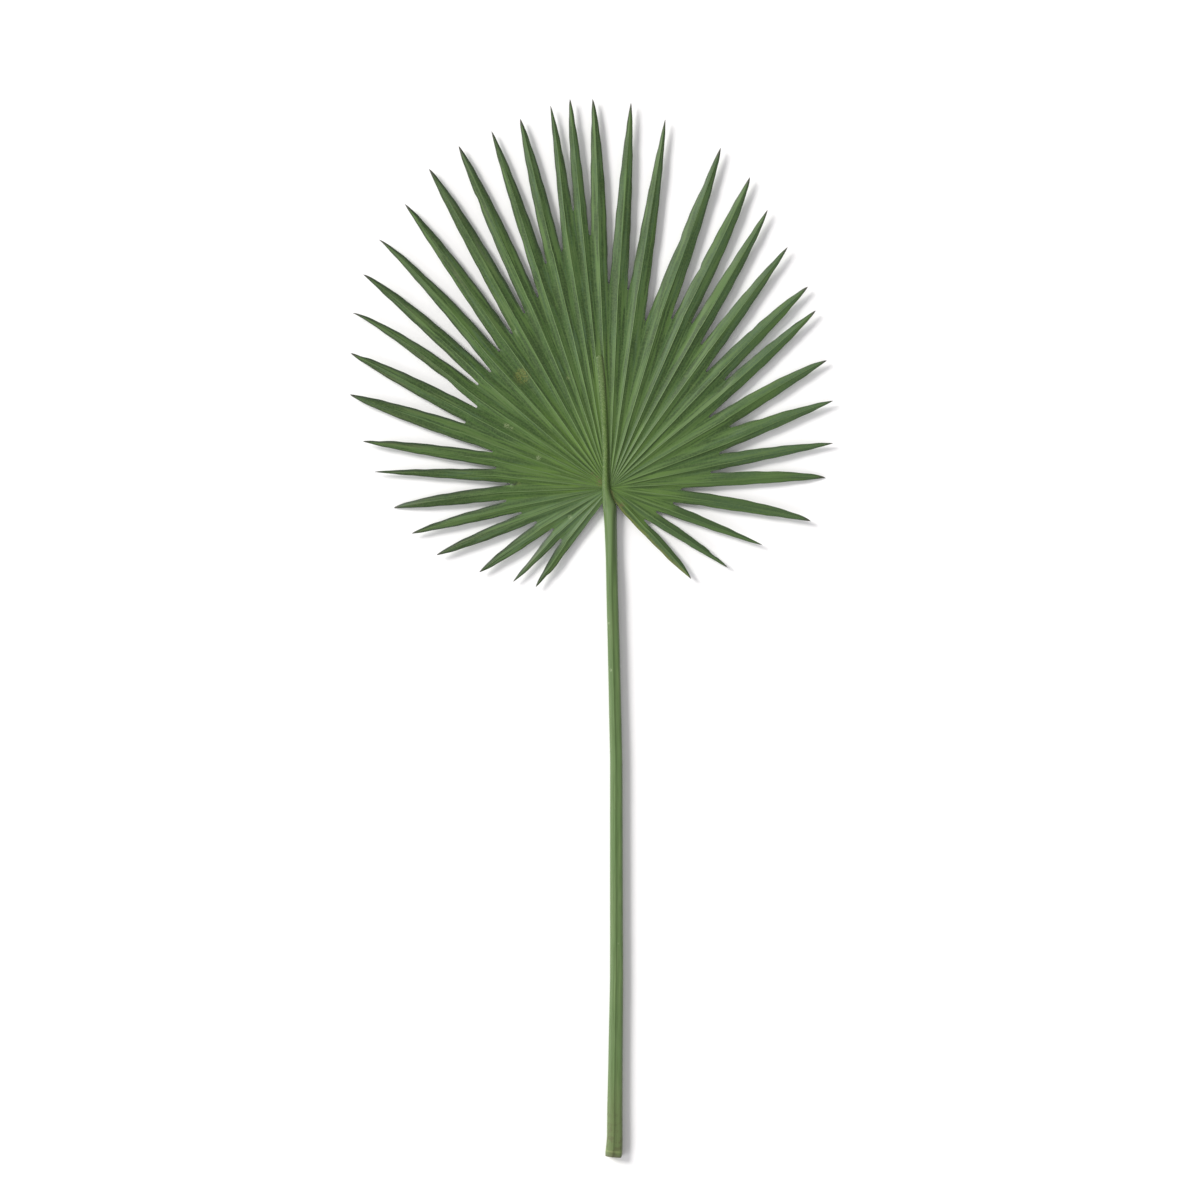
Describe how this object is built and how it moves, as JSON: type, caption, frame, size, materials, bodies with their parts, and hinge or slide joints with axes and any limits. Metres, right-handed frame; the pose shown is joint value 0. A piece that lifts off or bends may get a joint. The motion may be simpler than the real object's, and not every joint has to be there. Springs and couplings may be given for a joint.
{
  "type": "fan palm leaf",
  "caption": "Cut fan palm leaf lying flat: a round pleated fan of long pointed fingers on a slim straight stalk that runs on as a short rib over the fan.",
  "frame": {"origin": "centre of the leaf's bounding box in plan, at the level of the surface it lies on", "axes": "+Y from the cut foot of the stalk to the longest fingers, +X to the right seen from above with +Y up, +Z up out of the leaf's face"},
  "size_m": [0.4832, 1.0586, 0.0118],
  "materials": {
    "leaf_blade": "leathery mid green with a soft sheen, finely lined along the fingers, with dry brown tips",
    "leaf_stalk": "smooth, faintly streaked yellow green, satin"
  },
  "bodies": {
    "root": {"leaf_blade": "leaf_blade", "leaf_stalk": "leaf_stalk"}
  },
  "joints": []
}
